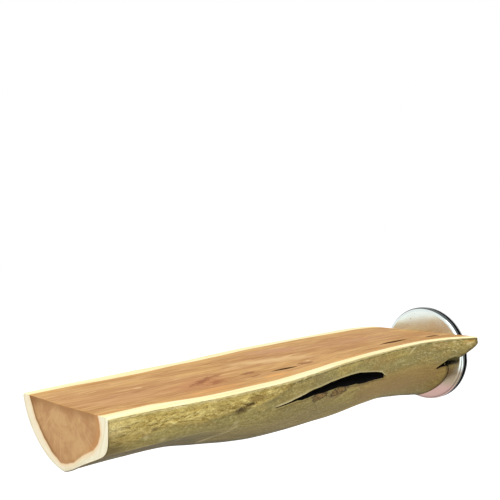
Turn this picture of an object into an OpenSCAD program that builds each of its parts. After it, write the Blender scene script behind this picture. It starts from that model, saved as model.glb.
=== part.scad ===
// Half-log bird perch with a clamp of two dished washers and a wing nut.
// The origin lies on the bolt's axis, in the plane of the inner washer's rim.
// +X points out through the cage, +Y to the back edge of the perch and +Z up.

/* [Half log] */
// Length of the half log
log_length = 220; // [160:1:300]
// Width of the flat top at the free end
log_width = 60; // [50:1:80]
// Depth of the log at the cage end, from the flat top to the keel
log_depth = 36; // [33:0.5:44]
// Height of the flat top over the bolt's axis
top_height = 12.2; // [10:0.1:14]
// How far the front corner flares out at the cage end
end_flare = 9.5; // [0:0.5:12]
// How far the back corner is rounded in at the cage end
corner_round = 7.5; // [0:0.5:10]

/* [Hollow in the side] */
// Height of the hollow's mouth
hollow_height = 3.6; // [2:0.1:6]
// Depth of the hollow into the wood
hollow_depth = 11; // [4:0.5:14]
// Height of the split at the cage end
split_height = 3.8; // [1.5:0.1:4.5]
// Depth of the split into the wood
split_depth = 5; // [2:0.5:7]
// How far the wood under the split stands back at the cage end
lower_setback = 7.5; // [0:0.5:8]
// How far the wood over the split stands back at the cage end
upper_setback = 4; // [0:0.5:5]

/* [Hanger bolt] */
// Diameter of the machine thread and of the wood screw
stud_diameter = 6.35; // [5:0.05:6.5]
// How far the plain shank lies under the thread, on the radius
shank_drop = 0.075; // [0:0.025:0.4]
// Pitch of the machine thread
thread_pitch = 1.27; // [0.8:0.01:1.5]
// Length of the stud past the outer washer's face
stud_reach = 11.5; // [8:0.1:16]
// Length of the wood screw in the log
screw_length = 38; // [25:0.5:60]
// Length of the wood screw's point
point_length = 7; // [4:0.1:10]
// How deep the wood screw bites into the wall of its pilot bore
screw_bite = 0.575; // [0.2:0.025:0.8]

/* [Washers] */
// Diameter of both washers
washer_diameter = 50; // [40:0.5:60]
// Height of a washer from its rim to its face
washer_height = 2; // [1.4:0.05:3]
// Thickness of the washers' sheet
washer_sheet = 0.9; // [0.5:0.05:1.2]
// Play between the bolt and the washers' holes, on the radius
hole_play = 0.325; // [0.15:0.025:0.8]
// Gap between the two rims at rest, which grips the cage's wires
clamp_gap = 2.1; // [0.5:0.1:4]

/* [Wing nut] */
// Diameter of the nut's hub
hub_diameter = 11.6; // [10:0.1:14]
// Height of the nut's hub
hub_height = 5; // [4:0.1:7]
// Span across the two wings
wing_span = 26.4; // [22:0.1:30]
// Height of the wings over the nut's seat
wing_height = 10.3; // [8:0.1:12]
// Thickness of a wing at its root
wing_thickness = 3.6; // [2:0.1:4.2]
// Angle of the first wing from the back edge, towards the top
wing_angle = 50; // [0:1:179]

/* [Hidden] */

// Clearance between the log's end and the inner washer
log_clear = 0.1;
// Clearance between the outer washer and the nut
seat_clear = 0.05;
// Clearance between the nut's bore and the thread, on the radius
thread_clear = 0.05;
// Chamfer at the nut's two mouths and round its hub
nut_chamfer = 0.5;
// Overrun of a cut past the surface that it opens
overrun = 1;

// Diameters that follow the stud's
shank_diameter = stud_diameter - 2 * shank_drop;
pilot_diameter = stud_diameter - 2 * screw_bite;
washer_hole = stud_diameter + 2 * hole_play;
nut_bore = stud_diameter + 2 * thread_clear;

// Places along the X axis
log_end = -washer_height - log_clear;
seat = clamp_gap + washer_height + seat_clear;
stud_end = clamp_gap + washer_height + stud_reach;

// The log's outline at equal steps, from the free end to the cage end.
// The edges and the keel are shares of half the width, the depth of the log's depth.
back_edge_shares = [1.01, 1.08, 1.11, 1.145, 1.155, 1.25, 1.33, 1.355, 1.35, 1.355, 1.375, 1.365];
front_edge_shares = [1.01, 1.055, 1.145, 1.165, 1.155, 1.05, 0.91, 0.81, 0.75, 0.71, 0.72, 0.83];
keel_shares = [0.03, 0.03, 0.05, 0.08, 0.1, 0.12, 0.13, 0.14, 0.14, 0.14, 0.15, 0.165];
depth_shares = [0.686, 0.68, 0.69, 0.775, 0.845, 0.87, 0.88, 0.885, 0.86, 0.86, 0.92, 1];
// The height of the seam line in the front side, under the flat top
seam_shares = [0.283, 0.283, 0.283, 0.283, 0.267, 0.222, 0.225, 0.27, 0.347, 0.408, 0.5, 0.408];

// How full the rounded sides are: 1 is straight, 2 an ellipse and more is boxier
back_fullness = [1.47, 1.5, 1.55, 1.6, 1.65, 1.7, 1.7, 1.7, 1.65, 1.6, 1.55, 1.5];
keel_fullness = [1.42, 1.42, 1.5, 1.65, 1.8, 1.9, 1.95, 1.95, 1.85, 1.7, 1.45, 1.4];
shoulder_fullness = [3.3, 3.2, 2.9, 2.7, 2.6, 2.5, 2.4, 2.2, 2, 1.8, 1.6, 1.4];
// How closely the fuller shoulder keeps to the top edge
shoulder_power = 5;
// How late the flare and the rounded corner start towards the cage end
flare_power = 16;
round_power = 30;

// Where the hollow and the split start and end, as shares of the length
hollow_start_share = 0.336;
hollow_end_share = 0.736;
split_start_share = 0.93;
// Where the hollow widens, as shares of its own length, and its height before that
widen_start_share = 0.42;
widen_end_share = 0.7;
thin_share = 0.45;
// Height of the closed seam, as a share of the log's depth
closed_share = 0.04;
// How the hollow leans upwards as it goes in
hollow_lean = 12;
// How closely each setback keeps to the split
lower_fade = 4.5;
upper_fade = 2;

// Steps of the log's mesh: along it, round its back, under it, in the seam and above it
steps_along = 44;
steps_back = 10;
steps_under = 9;
steps_seam = 6;
steps_above = 6;

// A wing's outline from its root round the tip, as shares of the half span and the height
wing_shares = [[0.3, 0.06], [0.47, 0.04], [0.64, 0.24], [0.83, 0.53], [1, 0.82], [0.985, 0.93],
    [0.9, 0.99], [0.81, 1], [0.73, 0.93], [0.6, 0.72], [0.46, 0.53], [0.36, 0.47], [0.3, 0.45]];
// Thickness of a wing at its tip, as a share of its root's
tip_share = 0.8;
// Diameter of the hub's top, as a share of its foot's
hub_top_share = 0.8;
// Height of the hub's straight foot, as a share of its height
foot_share = 0.25;

// Value at place s, from 0 to 1, on a smooth curve through equally spaced values
function along(values, s) =
    let (n = len(values) - 1, k = min(floor(s * n), n - 1), t = s * n - k)
    let (b = values[k], c = values[k + 1])
    let (a = k > 0 ? values[k - 1] : 2 * b - c, d = k < n - 1 ? values[k + 2] : 2 * c - b)
    b + t * (c - a) / 2 + t * t * (a - 2.5 * b + 2 * c - d / 2)
    + t * t * t * (1.5 * (b - c) + (d - a) / 2);

// Smooth step from 0 to 1
function ease(t) = let (q = min(max(t, 0), 1)) q * q * (3 - 2 * q);

function back_edge(s) =
    log_width / 2 * along(back_edge_shares, s) - corner_round * pow(s, round_power);
function front_edge(s) =
    -log_width / 2 * along(front_edge_shares, s) - end_flare * pow(s, flare_power);
function keel(s) = log_width / 2 * along(keel_shares, s);
function depth(s) = log_depth * along(depth_shares, s);
function seam(s) = top_height - log_depth * along(seam_shares, s);

// Points [y, z] of the two sides: angle 0 is the top edge and 90 the keel
function side_point(s, edge, angle, n) =
    [keel(s) + (edge - keel(s)) * pow(cos(angle), 2 / n), top_height - depth(s) * pow(sin(angle), 2 / n)];
function back_point(s, angle) = side_point(s, back_edge(s), angle, along(back_fullness, s));
function front_fullness(s, angle) =
    let (low = along(keel_fullness, s), high = along(shoulder_fullness, s))
    low + (high - low) * pow(cos(angle), shoulder_power);
function front_point(s, angle) = side_point(s, front_edge(s), angle, front_fullness(s, angle));

// Angle at which the front side is at height z, found by halving the interval
function front_angle(s, z, low = 0, high = 90, turns = 24) =
    turns == 0 ? (low + high) / 2 :
    let (middle = (low + high) / 2)
    front_point(s, middle)[1] > z ? front_angle(s, z, middle, high, turns - 1)
    : front_angle(s, z, low, middle, turns - 1);

// How far along the hollow and the split a place is, from 0 to 1
function hollow_place(s) =
    min(max((s - hollow_start_share) / (hollow_end_share - hollow_start_share), 0), 1);
function split_place(s) = ease((s - split_start_share) / (1 - split_start_share));
function widening(t) =
    thin_share + (1 - thin_share) * ease((t - widen_start_share) / (widen_end_share - widen_start_share));

// Height of the open seam and how far it goes in
function seam_height(s) =
    let (t = hollow_place(s))
    closed_share * log_depth + hollow_height * widening(t) * sqrt(max(sin(180 * t), 0))
    + split_height * split_place(s);
function seam_depth(s) =
    hollow_depth * pow(max(sin(180 * hollow_place(s)), 0), 0.6) + split_depth * split_place(s);

// Points of the front side, set back near the split; share is 1 at the split's lip
function set_back(s, angle, setback, share, fade) =
    front_point(s, angle) + [setback * split_place(s) * pow(share, fade), 0];
function under_point(s, low, share) =
    set_back(s, 90 + (low - 90) * share, lower_setback, share, lower_fade);
function above_point(s, high, share) =
    set_back(s, high * share, upper_setback, share, upper_fade);

// The pocket between the seam's two lips, from the lower lip to the upper one
function pocket_point(s, lower, upper, k) =
    let (t = k / steps_seam, inward = [cos(hollow_lean), sin(hollow_lean)])
    lower + (upper - lower) * t + inward * seam_depth(s) * pow(max(sin(180 * t), 0), 0.8);

// One section of the log, from the back top edge round the keel to the front top edge
function log_section(s) =
    let (low = front_angle(s, seam(s) - seam_height(s) / 2), high = front_angle(s, seam(s) + seam_height(s) / 2))
    let (lower = under_point(s, low, 1), upper = above_point(s, high, 1))
    [
        for (k = [0 : steps_back]) back_point(s, 90 * k / steps_back),
        for (k = [1 : steps_under - 1]) under_point(s, low, k / steps_under),
        for (k = [0 : steps_seam]) pocket_point(s, lower, upper, k),
        for (k = [1 : steps_above]) above_point(s, high, 1 - k / steps_above)
    ];

// Half of a round log, with its flat side up
module half_log() {
    sections = [for (i = [0 : steps_along]) log_section(i / steps_along)];
    n = len(sections[0]);
    points = [
        for (i = [0 : steps_along], p = sections[i])
            [log_end - log_length * (1 - i / steps_along), p[0], p[1]]
    ];
    sides = [
        for (i = [0 : steps_along - 1], k = [0 : n - 1])
            let (a = i * n + k, b = i * n + (k + 1) % n)
            each [[a, b, b + n], [a, b + n, a + n]]
    ];
    free_end = [[for (k = [0 : n - 1]) n - 1 - k]];
    cage_end = [[for (k = [0 : n - 1]) steps_along * n + k]];
    color("burlywood")
    difference() {
        polyhedron(points, concat(sides, free_end, cage_end));
        translate([log_end - screw_length, 0, 0])
            rotate([0, 90, 0])
                cylinder(h = screw_length + overrun, d = pilot_diameter, $fn = 48);
    }
}

// Bolt with a wood screw at one end and a machine thread at the other
module hanger_bolt() {
    tip = log_end - screw_length;
    color("gray")
    rotate([0, 90, 0])
        rotate_extrude($fn = 64)
            polygon([
                [0, tip],
                [stud_diameter / 2, tip + point_length],
                [stud_diameter / 2, log_end - 3 * thread_pitch],
                [shank_diameter / 2, log_end - 2 * thread_pitch],
                [shank_diameter / 2, 0],
                [stud_diameter / 2, thread_pitch],
                [stud_diameter / 2, stud_end - thread_pitch / 2],
                [stud_diameter / 2 - thread_pitch / 2, stud_end],
                [0, stud_end]
            ]);
}

// Shallow dished washer: its rim lies in the plane z = 0 and its face at washer_height
module dished_washer() {
    shoulder = washer_diameter / 2 - washer_height;
    steps = 10;
    rotate_extrude($fn = 128)
        polygon([
            [washer_hole / 2, washer_height - washer_sheet],
            for (k = [0 : steps])
                let (turn = 90 - 90 * k / steps, r = washer_height - washer_sheet)
                [shoulder + r * cos(turn), r * sin(turn)],
            for (k = [0 : steps])
                let (turn = 90 * k / steps)
                [shoulder + washer_height * cos(turn), washer_height * sin(turn)],
            [washer_hole / 2, washer_height]
        ]);
}

// Washer between the log and the cage, with its face on the log's end
module inner_washer() {
    color("silver")
    rotate([0, -90, 0])
        dished_washer();
}

// Washer on the far side of the cage's wires, with its rim towards the first one
module outer_washer() {
    color("silver")
    translate([clamp_gap, 0, 0])
        rotate([0, 90, 0])
            dished_washer();
}

// One wing, standing on the plane z = 0 and reaching out along +X
module wing() {
    half_span = wing_span / 2;
    outline = [for (p = wing_shares) [p[0] * half_span, p[1] * wing_height]];
    n = len(outline);
    steps = 4;
    rounded = [
        for (i = [0 : n - 1], k = [0 : steps - 1])
            let (a = outline[(i + n - 1) % n], b = outline[i], c = outline[(i + 1) % n], d = outline[(i + 2) % n])
            along([a, b, c, d], (1 + k / steps) / 3)
    ];
    intersection() {
        rotate([90, 0, 0])
            linear_extrude(wing_thickness, center = true)
                polygon(rounded);
        linear_extrude(wing_height)
            polygon([
                [0, -wing_thickness / 2],
                [half_span, -wing_thickness * tip_share / 2],
                [half_span, wing_thickness * tip_share / 2],
                [0, wing_thickness / 2]
            ]);
    }
}

// Wing nut, seated on the outer washer
module wing_nut() {
    foot = hub_diameter / 2;
    color("lightgray")
    translate([seat, 0, 0])
        rotate([wing_angle, 0, 0])
            rotate([0, 90, 0])
                rotate([0, 0, 90])
                    difference() {
                        union() {
                            rotate_extrude($fn = 64)
                                polygon([
                                    [nut_bore / 4, 0],
                                    [foot - nut_chamfer, 0],
                                    [foot, nut_chamfer],
                                    [foot, hub_height * foot_share],
                                    [foot * hub_top_share, hub_height - nut_chamfer],
                                    [foot * hub_top_share - nut_chamfer, hub_height],
                                    [nut_bore / 4, hub_height]
                                ]);
                            wing();
                            mirror([1, 0, 0]) wing();
                        }
                        translate([0, 0, -overrun])
                            cylinder(h = wing_height + 2 * overrun, d = nut_bore, $fn = 64);
                    }
}

half_log();
hanger_bolt();
inner_washer();
outer_washer();
wing_nut();
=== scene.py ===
# %% [markdown]
# # A half-log bird perch
#
# The object is half of a round branch, sawn flat on top. A hanger bolt in one end carries two
# dished washers and a wing nut, and these clamp the perch to the wires of a cage.
#
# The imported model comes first. It fixes every size and place, so each piece that is made here
# reads its measures from the frame and stays inside the space that the solid holds.

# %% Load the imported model
import math

import bmesh
import bpy
import numpy as np
from mathutils import Matrix, Vector


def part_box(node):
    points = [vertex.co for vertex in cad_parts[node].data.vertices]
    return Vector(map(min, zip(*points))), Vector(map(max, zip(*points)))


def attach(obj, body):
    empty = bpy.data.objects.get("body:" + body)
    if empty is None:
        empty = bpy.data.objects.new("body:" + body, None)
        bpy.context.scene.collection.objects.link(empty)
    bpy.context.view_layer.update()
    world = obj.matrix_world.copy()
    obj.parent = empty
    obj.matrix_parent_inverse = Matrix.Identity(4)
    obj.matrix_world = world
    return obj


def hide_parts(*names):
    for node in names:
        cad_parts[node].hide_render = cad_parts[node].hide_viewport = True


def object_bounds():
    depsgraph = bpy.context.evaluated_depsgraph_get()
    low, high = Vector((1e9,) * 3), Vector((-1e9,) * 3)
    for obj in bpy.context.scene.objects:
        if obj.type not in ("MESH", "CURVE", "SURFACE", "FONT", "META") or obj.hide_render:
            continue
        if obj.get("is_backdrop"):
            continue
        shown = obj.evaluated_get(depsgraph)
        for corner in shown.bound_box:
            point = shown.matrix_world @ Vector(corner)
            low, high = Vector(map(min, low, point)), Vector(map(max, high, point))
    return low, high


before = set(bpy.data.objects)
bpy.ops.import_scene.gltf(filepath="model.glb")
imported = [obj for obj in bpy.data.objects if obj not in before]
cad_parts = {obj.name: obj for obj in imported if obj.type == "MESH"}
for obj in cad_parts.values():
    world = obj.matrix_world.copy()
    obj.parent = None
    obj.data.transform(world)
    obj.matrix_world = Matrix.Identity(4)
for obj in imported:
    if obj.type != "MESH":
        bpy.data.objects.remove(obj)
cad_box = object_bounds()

MM = 0.001


def box_mm(node):
    """Lowest and highest corner of a node, in millimetres."""
    low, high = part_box(node)
    return np.array(low) / MM, np.array(high) / MM


def placed(name, data):
    """A new object with this data, put into the scene."""
    obj = bpy.data.objects.new(name, data)
    bpy.context.collection.objects.link(obj)
    return obj


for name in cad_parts:
    print(name, [round(float(v), 2) for corner in box_mm(name) for v in corner])

# %% [markdown]
# ## The camera
#
# The photograph looks along the perch from its free end, a little from above. The camera's
# place was worked out from the corners of the end face, the long edges and the washers' rims.
# It is written here as a compass angle, a tilt and a roll, because these can be read, and the
# matrix that Blender wants is worked out from them. Lens shift isn't needed.

# %% Camera at the photograph's viewing angle
FRAME_PX = 500
FOCAL_PX = 784.5
SENSOR_MM = 36.0
COMPASS = math.radians(47.366)
TILT = math.radians(-2.168)
ROLL = math.radians(1.8725)
CAMERA_PLACE = Vector((-0.36014, -0.25194, 0.07592))


def aim(compass, tilt, roll):
    """Rotation whose columns are the camera's right, up and backward directions."""
    forward = Vector((math.cos(tilt) * math.cos(compass),
                      math.cos(tilt) * math.sin(compass), math.sin(tilt)))
    right = forward.cross(Vector((0, 0, 1))).normalized()
    down = forward.cross(right)
    rolled_right = math.cos(roll) * right + math.sin(roll) * down
    rolled_down = math.cos(roll) * down - math.sin(roll) * right
    return Matrix((rolled_right, -rolled_down, -forward)).transposed()


camera = placed("camera", bpy.data.cameras.new("camera"))
camera.data.sensor_fit = "HORIZONTAL"
camera.data.sensor_width = SENSOR_MM
camera.data.lens = SENSOR_MM * FOCAL_PX / FRAME_PX
camera.data.clip_start = 0.01
camera.matrix_world = Matrix.Translation(CAMERA_PLACE) @ aim(COMPASS, TILT, ROLL).to_4x4()
bpy.context.scene.camera = camera
bpy.context.scene.view_settings.view_transform = "Standard"
print("lens %.1f mm" % camera.data.lens)

# %% [markdown]
# ## Colours and shader nodes
#
# Colours are written as they are seen on a screen and turned into the linear values that
# Blender's nodes hold. A finish is a small network of nodes around one Principled shader, and
# the classes below keep each step of it to one readable line. Wood gets its colour as a painter
# would give it: a ground of two tones, and thin layers over it. Each layer has a value, such as
# a noise or a place, the two levels between which it comes in, a strength and a tone.

# %% Colours, and nodes in one line each
def srgb(tone):
    """A screen colour, 0 to 255, as a linear colour with full opacity."""
    def linear(c):
        c = c / 255
        return c / 12.92 if c <= 0.04045 else ((c + 0.055) / 1.055) ** 2.4
    return tuple(linear(c) for c in tone) + (1.0,)


class Network:
    """Nodes under construction. Each method adds a node or a few and returns the last output."""

    def __init__(self, tree):
        self.tree = tree

    def put(self, socket, value):
        """Sets a socket to a value, or links it to another node's output."""
        if isinstance(value, bpy.types.NodeSocket):
            self.tree.links.new(value, socket)
        else:
            socket.default_value = value

    def node(self, kind, inputs, **settings):
        new = self.tree.nodes.new("ShaderNode" + kind)
        for name, value in settings.items():
            setattr(new, name, value)
        for name, value in inputs.items():
            self.put(new.inputs[name], value)
        return new

    def own(self, name="Object"):
        """One of the object's own coordinates."""
        return self.node("TexCoord", {}).outputs[name]

    def attribute(self, name):
        return self.node("Attribute", {}, attribute_name=name, attribute_type="GEOMETRY").outputs

    def vector(self, name):
        return self.attribute(name)["Vector"]

    def number(self, name):
        return self.attribute(name)["Fac"]

    def axes(self, vector):
        """The three numbers of a vector, by the names X, Y and Z."""
        return self.node("SeparateXYZ", {"Vector": vector}).outputs

    def length(self, vector):
        return self.node("VectorMath", {0: vector}, operation="LENGTH").outputs["Value"]

    def stretch(self, vector, scale, place=(0, 0, 0)):
        return self.node("Mapping", {"Vector": vector, "Scale": scale, "Location": place}).outputs["Vector"]

    def noise(self, vector, scale, detail=4.0, roughness=0.55, distortion=0.0, place=(0, 0, 0)):
        """Noise from about 0 to 1, with its own scale along each axis."""
        inputs = {"Vector": self.stretch(vector, scale, place), "Scale": 1.0, "Detail": detail,
                  "Roughness": roughness, "Distortion": distortion}
        return self.node("TexNoise", inputs).outputs["Fac"]

    def math(self, operation, a, b=0.0, c=0.0):
        return self.node("Math", {0: a, 1: b, 2: c}, operation=operation).outputs[0]

    def times(self, a, b):
        return self.math("MULTIPLY", a, b)

    def plus(self, base, value, share):
        """The base with a share of the value added."""
        return self.math("MULTIPLY_ADD", value, share, base)

    def apart(self, a, b):
        """How far two numbers are from each other."""
        return self.math("ABSOLUTE", self.math("SUBTRACT", a, b))

    def step(self, value, low, high):
        """0 below low, 1 above high and smooth between. Low may be the larger one."""
        inputs = {"Value": value, "From Min": low, "From Max": high}
        return self.node("MapRange", inputs, interpolation_type="SMOOTHSTEP").outputs["Result"]

    def both(self, first, second):
        """1 only where two steps are 1. Each is given as a value and its two levels."""
        return self.times(self.step(*first), self.step(*second))

    def mix(self, factor, a, b):
        new = self.node("Mix", {0: factor}, data_type="RGBA")
        self.put(new.inputs[6], a)
        self.put(new.inputs[7], b)
        return new.outputs[2]

    def ground(self, value, low, high, tone, other_tone):
        """One tone where the value is below its levels, and another above them."""
        return self.mix(self.step(value, low, high), srgb(tone), srgb(other_tone))

    def layers(self, colour, *rows):
        """Mixes tones into the colour, row by row. A row is a value with its two levels, or a
        finished mask without levels, and then the strength and a tone or another node's colour."""
        for value, *levels, strength, tone in rows:
            mask = self.step(value, *levels) if levels else value
            towards = srgb(tone) if isinstance(tone, tuple) else tone
            colour = self.mix(self.times(mask, strength), colour, towards)
        return colour

    def bump(self, height, distance, strength=1.0, under=None):
        inputs = {"Height": height, "Distance": distance, "Strength": strength}
        if under is not None:
            inputs["Normal"] = under
        return self.node("Bump", inputs).outputs["Normal"]


class Finish(Network):
    """A material built on one Principled shader."""

    def __init__(self, name):
        self.material = bpy.data.materials.new(name)
        self.material.use_nodes = True
        super().__init__(self.material.node_tree)
        self.surface = self.tree.nodes["Principled BSDF"]

    def set(self, **sockets):
        """Sets the Principled shader's own sockets, with spaces written as underscores."""
        for name, value in sockets.items():
            self.put(self.surface.inputs[name.replace("_", " ")], value)

# %% [markdown]
# ## The log's outline
#
# A branch isn't a cylinder: its two edges wander, its keel deepens towards the cage end, and
# one shoulder is fuller than the other. The shape is a loft, a row of sections along the
# length. Each section is two quarter curves that meet at the keel, and short tables give their
# reach and fullness at equal steps from the free end to the cage end. A smooth curve through
# each table fills in the rest. The tables are the solid's own, so the wood fills the solid. Only
# the first numbers of the back's fullness are larger here, because the photograph shows the back
# rounder at the free end.

# %% Measures of the log
log_low, log_high = box_mm("half_log")
LOG_START = log_low[0]
LOG_END = log_high[0]
LOG_LENGTH = LOG_END - LOG_START
TOP_HEIGHT = log_high[2]
LOG_DEPTH = TOP_HEIGHT - log_low[2]
LOG_WIDTH = 60.0
END_FLARE, FLARE_POWER = 9.5, 16
CORNER_ROUND, ROUND_POWER = 7.5, 30
SHOULDER_POWER = 5
HALVINGS = 24

BACK_EDGE = [1.01, 1.08, 1.11, 1.145, 1.155, 1.25, 1.33, 1.355, 1.35, 1.355, 1.375, 1.365]
FRONT_EDGE = [1.01, 1.055, 1.145, 1.165, 1.155, 1.05, 0.91, 0.81, 0.75, 0.71, 0.72, 0.83]
KEEL = [0.03, 0.03, 0.05, 0.08, 0.1, 0.12, 0.13, 0.14, 0.14, 0.14, 0.15, 0.165]
DEPTH = [0.686, 0.68, 0.69, 0.775, 0.845, 0.87, 0.88, 0.885, 0.86, 0.86, 0.92, 1]
BACK_FULLNESS = [1.7, 1.64, 1.6, 1.6, 1.65, 1.7, 1.7, 1.7, 1.65, 1.6, 1.55, 1.5]
KEEL_FULLNESS = [1.42, 1.42, 1.5, 1.65, 1.8, 1.9, 1.95, 1.95, 1.85, 1.7, 1.45, 1.4]
SHOULDER_FULLNESS = [3.3, 3.2, 2.9, 2.7, 2.6, 2.5, 2.4, 2.2, 2, 1.8, 1.6, 1.4]
print("log %.1f mm long, %.1f mm deep" % (LOG_LENGTH, LOG_DEPTH))

# %% Curves through the tables
def along(values, s):
    """Value at place s, from 0 to 1, on a smooth curve through equally spaced values."""
    values = np.asarray(values, float)
    steps = len(values) - 1
    k = np.clip(np.floor(s * steps).astype(int), 0, steps - 1)
    t = s * steps - k
    longer = np.concatenate([[2 * values[0] - values[1]], values, [2 * values[-1] - values[-2]]])
    a, b, c, d = (longer[k + i] for i in range(4))
    return (b + t * (c - a) / 2 + t ** 2 * (a - 2.5 * b + 2 * c - d / 2)
            + t ** 3 * (1.5 * (b - c) + (d - a) / 2))


def ease(t):
    t = np.clip(t, 0, 1)
    return t * t * (3 - 2 * t)


def back_edge(s):
    return LOG_WIDTH / 2 * along(BACK_EDGE, s) - CORNER_ROUND * s ** ROUND_POWER


def front_edge(s):
    return -LOG_WIDTH / 2 * along(FRONT_EDGE, s) - END_FLARE * s ** FLARE_POWER


def middle_line(s):
    return LOG_WIDTH / 2 * along(KEEL, s)


def side_point(s, edge, angle, fullness):
    """Points (y, z) of a side: angle 0 is the top edge and a quarter turn is the keel."""
    across = np.clip(np.cos(angle), 0, 1) ** (2 / fullness)
    down = np.clip(np.sin(angle), 0, 1) ** (2 / fullness)
    y = middle_line(s) + (edge - middle_line(s)) * across
    return np.stack([y, TOP_HEIGHT - LOG_DEPTH * along(DEPTH, s) * down], -1)


def back_point(s, angle):
    return side_point(s, back_edge(s), angle, along(BACK_FULLNESS, s))


def front_point(s, angle):
    low = along(KEEL_FULLNESS, s)
    near_top = np.clip(np.cos(angle), 0, 1) ** SHOULDER_POWER
    return side_point(s, front_edge(s), angle, low + (along(SHOULDER_FULLNESS, s) - low) * near_top)


def front_angle(s, height):
    """Angle at which the front side passes a height, by halving the interval."""
    low = np.zeros_like(s)
    high = np.full_like(s, math.pi / 2)
    for _ in range(HALVINGS):
        middle = (low + high) / 2
        above = front_point(s, middle)[:, 1] > height
        low = np.where(above, middle, low)
        high = np.where(above, high, middle)
    return (low + high) / 2

# %% [markdown]
# ## The hollow and the split
#
# A long rotted hollow opens in the front side, and a split runs in from the cage end. Both lie
# on one seam. The rows of the mesh follow its two lips, so the lips stay crisp, and the rows
# between them sink into the wood where the seam is open. The hollow starts as a hairline at
# the left, gapes under an arched upper lip and ends blunt. At the split the wood stands back
# from the log's outline and leaves two rounded lobes.

# %% How far the seam opens
LIP_PLACES = [-222, -147.5, -140, -135, -131, -126, -122, -118, -110, -101, -92, -85, -78, -70,
              -65, -61.5, -59, -40, -16.4, -14, -12, -10, -5.6, -2.1]
LOWER_LIP = [2.0, 2.2, 2.6, 2.8, 2.2, 2.4, 2.6, 2.2, 1.6, 1.4, 0.6, -0.2, -0.7, -0.9,
             -1.3, -1.6, -1.2, -3.6, -5.2, -5.2, -5.2, -5.2, -5.2, -5.2]
UPPER_LIP = [2.3, 2.5, 3.1, 3.7, 4.0, 4.6, 4.8, 4.8, 5.2, 5.2, 5.2, 4.9, 3.8, 2.6,
             1.6, -0.4, -0.9, -3.3, -4.8, -2.9, -1.7, -0.3, 0.6, 0.4]
HOLLOW_DEPTH, HOLLOW_POWER = 11.0, 0.6
SPLIT_DEPTH = 5.0
POCKET_POWER = 0.5
HOLLOW_LEAN = math.radians(12)
HOLLOW_START, HOLLOW_STOP, SPLIT_START = 0.336, 0.736, 0.93
LOWER_SETBACK, LOWER_FADE = 7.5, 4.5
UPPER_SETBACK, UPPER_FADE = 4.0, 2.0


def split_place(s):
    return ease((s - SPLIT_START) / (1 - SPLIT_START))


def seam_depth(s):
    hollow_place = np.clip((s - HOLLOW_START) / (HOLLOW_STOP - HOLLOW_START), 0, 1)
    inside = np.clip(np.sin(math.pi * hollow_place), 0, 1) ** HOLLOW_POWER
    return HOLLOW_DEPTH * inside + SPLIT_DEPTH * split_place(s)


def pocket_share(t):
    """How deep the seam is between its lips, where t goes from the lower to the upper lip."""
    return np.sin(math.pi * t) ** POCKET_POWER


def set_back(s, angle, setback, share, fade):
    """Points of the front side, set back near the split, where share is 1 at its lip."""
    points = front_point(s, angle)
    points[:, 0] += setback * split_place(s) * share ** fade
    return points

# %% Rows round the log, at even spacing
STATIONS = 301
SAMPLES = 240
BACK_ROWS, UNDER_ROWS, SEAM_ROWS, ABOVE_ROWS = 72, 56, 24, 30
ARRIS = 0.9


def even(curves, count, skip_start=0.0, skip_end=0.0):
    """Each curve of (station, sample, 2) again, as count points at even steps of its length."""
    result = np.empty((len(curves), count, 2))
    for i, curve in enumerate(curves):
        steps = np.hypot(*np.diff(curve, axis=0).T)
        length = np.concatenate([[0], np.cumsum(steps)])
        places = np.linspace(skip_start, length[-1] - skip_end, count)
        result[i] = np.stack([np.interp(places, length, curve[:, c]) for c in (0, 1)], -1)
    return result


s = np.linspace(0, 1, STATIONS)
samples = np.linspace(0, 1, SAMPLES)
x = LOG_START + LOG_LENGTH * s
lower_height = np.interp(x, LIP_PLACES, LOWER_LIP)
upper_height = np.interp(x, LIP_PLACES, UPPER_LIP)
low_angle, high_angle = front_angle(s, lower_height), front_angle(s, upper_height)


def swept(curve):
    """A curve at every station, where curve(t) gives all stations' points at place t."""
    return np.stack([curve(t) for t in samples], 1)


KEEL_ANGLE = math.pi / 2
back = swept(lambda t: back_point(s, KEEL_ANGLE * t ** 2))
under = swept(lambda t: set_back(s, KEEL_ANGLE + (low_angle - KEEL_ANGLE) * t, LOWER_SETBACK, t, LOWER_FADE))
above = swept(lambda t: set_back(s, high_angle * (1 - t) ** 2, UPPER_SETBACK, (1 - t) ** 2, UPPER_FADE))
lower_lip, upper_lip = under[:, -1], above[:, 0]

inward = np.array([math.cos(HOLLOW_LEAN), math.sin(HOLLOW_LEAN)])
pocket = (lower_lip[:, None] + (upper_lip - lower_lip)[:, None] * samples[:, None]
          + seam_depth(s)[:, None, None] * pocket_share(samples)[:, None] * inward)
side = np.concatenate([
    even(back, BACK_ROWS + 1, skip_start=ARRIS),
    even(under, UNDER_ROWS + 1)[:, 1:],
    even(pocket, SEAM_ROWS + 1)[:, 1:],
    even(above, ABOVE_ROWS + 1, skip_end=ARRIS)[:, 1:],
], 1)
FIRST_SEAM = BACK_ROWS + UNDER_ROWS
LAST_SEAM = FIRST_SEAM + SEAM_ROWS
ROWS = side.shape[1]
print("round side: %d stations of %d rows" % (STATIONS, ROWS))

# %% [markdown]
# ## Relief under the bark
#
# The bark was peeled off by hand. Near the free end flakes and fibres of the inner bark are
# left along the top edge, and lower down the wood is smooth with shallow flutes. Relief this
# coarse shows on the outline, so it is modelled. Random bumps of several sizes press the
# surface in, never out, so that the wood stays inside its solid.

# %% Smooth random bumps
LATTICE = np.random.RandomState(11).rand(24, 24, 24)


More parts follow.
